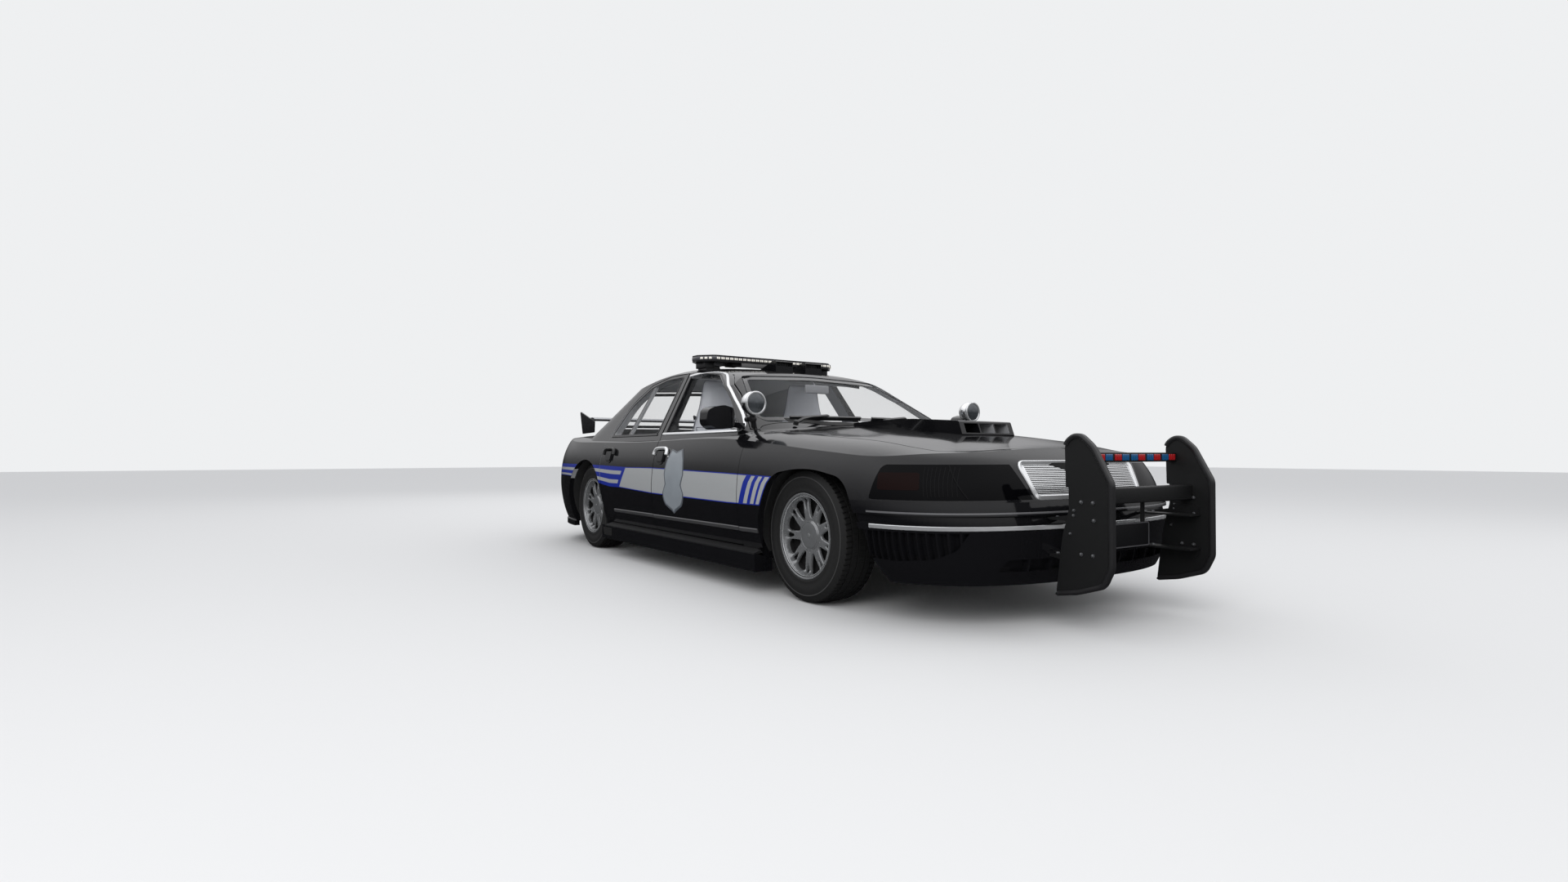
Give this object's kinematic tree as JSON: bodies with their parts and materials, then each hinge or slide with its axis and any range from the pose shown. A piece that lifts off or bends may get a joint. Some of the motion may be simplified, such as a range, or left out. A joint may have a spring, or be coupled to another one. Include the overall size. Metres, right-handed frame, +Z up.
{
  "type": "police patrol car",
  "caption": "Four-door saloon patrol car with push bar, roof light bar and spotlights; doors, hood and boot lid open, front wheels steer and all wheels turn.",
  "frame": {"origin": "on the ground under the middle of the car's box", "axes": "+X to the front of the car, +Y to its left, +Z up"},
  "size_m": [5.6325, 2.1744, 1.4499],
  "materials": {
    "body_paint": "deep gloss",
    "underbody": "matt",
    "window_glass": "lightly tinted",
    "tyre_rubber": "matt with moulded sidewall",
    "wheel_metal": "satin silver",
    "engine_metal": "rough cast",
    "chassis_steel": "matt black",
    "seat_cloth": "woven, padded",
    "trim_plastic": "grained",
    "wheel_rim_trim": "smooth",
    "gloss_plastic": "polished",
    "spot_chrome": "mirror bright",
    "bar_metal": "fine satin black",
    "lamp_modules": "clear over coloured modules",
    "light_bar_case": "gloss with clear lens",
    "grille_chrome": "bright",
    "lamp_lens": "smoked",
    "tail_lens": "red"
  },
  "bodies": {
    "root": {"body_frame": "body_paint", "boot_floor": "underbody", "dashboard": "trim_plastic", "engine_block": "engine_metal", "exhaust": "chassis_steel", "fenders": "body_paint", "floor_pan": "underbody", "front_beam": "chassis_steel", "front_bumper": "body_paint", "front_seats": "seat_cloth", "front_structure": "underbody", "front_suspension": "chassis_steel", "grille": "grille_chrome", "headlamps": "lamp_lens", "light_bar": "light_bar_case", "push_bar": "bar_metal", "push_bar_lights": "lamp_modules", "quarter_panels": "body_paint", "rear_axle": "chassis_steel", "rear_beam": "chassis_steel", "rear_bumper": "body_paint", "rear_seat": "seat_cloth", "rear_window": "window_glass", "roof_panel": "body_paint", "roof_vents": "gloss_plastic", "side_skirts": "body_paint", "spotlights": "spot_chrome", "steering_wheel": "wheel_rim_trim", "tail_lamps": "tail_lens", "windshield": "window_glass"},
    "front_door_right": {"front_door_right": "body_paint", "front_door_glass_right": "window_glass", "mirror_right": "gloss_plastic"},
    "rear_door_right": {"rear_door_right": "body_paint", "rear_door_glass_right": "window_glass"},
    "knuckle_right": {"knuckle_right": "chassis_steel"},
    "front_wheel_right": {"tyre_front_right": "tyre_rubber", "rim_front_right": "wheel_metal"},
    "rear_wheel_right": {"tyre_rear_right": "tyre_rubber", "rim_rear_right": "wheel_metal"},
    "front_door_left": {"front_door_left": "body_paint", "front_door_glass_left": "window_glass", "mirror_left": "gloss_plastic"},
    "rear_door_left": {"rear_door_left": "body_paint", "rear_door_glass_left": "window_glass"},
    "knuckle_left": {"knuckle_left": "chassis_steel"},
    "front_wheel_left": {"tyre_front_left": "tyre_rubber", "rim_front_left": "wheel_metal"},
    "rear_wheel_left": {"tyre_rear_left": "tyre_rubber", "rim_rear_left": "wheel_metal"},
    "hood": {"hood": "body_paint"},
    "boot_lid": {"boot_lid": "body_paint", "rear_wing": "bar_metal"}
  },
  "joints": [
    {"name": "steer_right", "type": "hinge", "parent": "root", "child": "knuckle_right", "pos_m": [1.434, -0.775, 0.338], "axis": [0, 0, 1], "range_deg": [-32, 32]},
    {"name": "spin_front_right", "type": "hinge", "parent": "knuckle_right", "child": "front_wheel_right", "pos_m": [1.434, -0.8, 0.338], "axis": [0, 1, 0], "continuous": true},
    {"name": "spin_rear_right", "type": "hinge", "parent": "root", "child": "rear_wheel_right", "pos_m": [-1.479, -0.8, 0.338], "axis": [0, 1, 0], "continuous": true},
    {"name": "open_front_door_right", "type": "hinge", "parent": "root", "child": "front_door_right", "pos_m": [0.901, -0.99, 0.6], "axis": [0, 0, 1], "range_deg": [0, 65]},
    {"name": "open_rear_door_right", "type": "hinge", "parent": "root", "child": "rear_door_right", "pos_m": [-0.209, -0.99, 0.6], "axis": [0, 0, 1], "range_deg": [0, 65]},
    {"name": "steer_left", "type": "hinge", "parent": "root", "child": "knuckle_left", "pos_m": [1.434, 0.775, 0.338], "axis": [0, 0, 1], "range_deg": [-32, 32]},
    {"name": "spin_front_left", "type": "hinge", "parent": "knuckle_left", "child": "front_wheel_left", "pos_m": [1.434, 0.8, 0.338], "axis": [0, 1, 0], "continuous": true},
    {"name": "spin_rear_left", "type": "hinge", "parent": "root", "child": "rear_wheel_left", "pos_m": [-1.479, 0.8, 0.338], "axis": [0, 1, 0], "continuous": true},
    {"name": "open_front_door_left", "type": "hinge", "parent": "root", "child": "front_door_left", "pos_m": [0.901, 0.99, 0.6], "axis": [0, 0, -1], "range_deg": [0, 65]},
    {"name": "open_rear_door_left", "type": "hinge", "parent": "root", "child": "rear_door_left", "pos_m": [-0.209, 0.99, 0.6], "axis": [0, 0, -1], "range_deg": [0, 65]},
    {"name": "open_hood", "type": "hinge", "parent": "root", "child": "hood", "pos_m": [0.794, 0, 0.935], "axis": [0, -1, 0], "range_deg": [0, 50]},
    {"name": "open_boot_lid", "type": "hinge", "parent": "root", "child": "boot_lid", "pos_m": [-1.841, 0, 0.955], "axis": [0, 1, 0], "range_deg": [0, 75]}
  ],
  "couplings": [
    {"joint": "steer_left", "follows": "steer_right", "ratio": 1}
  ]
}
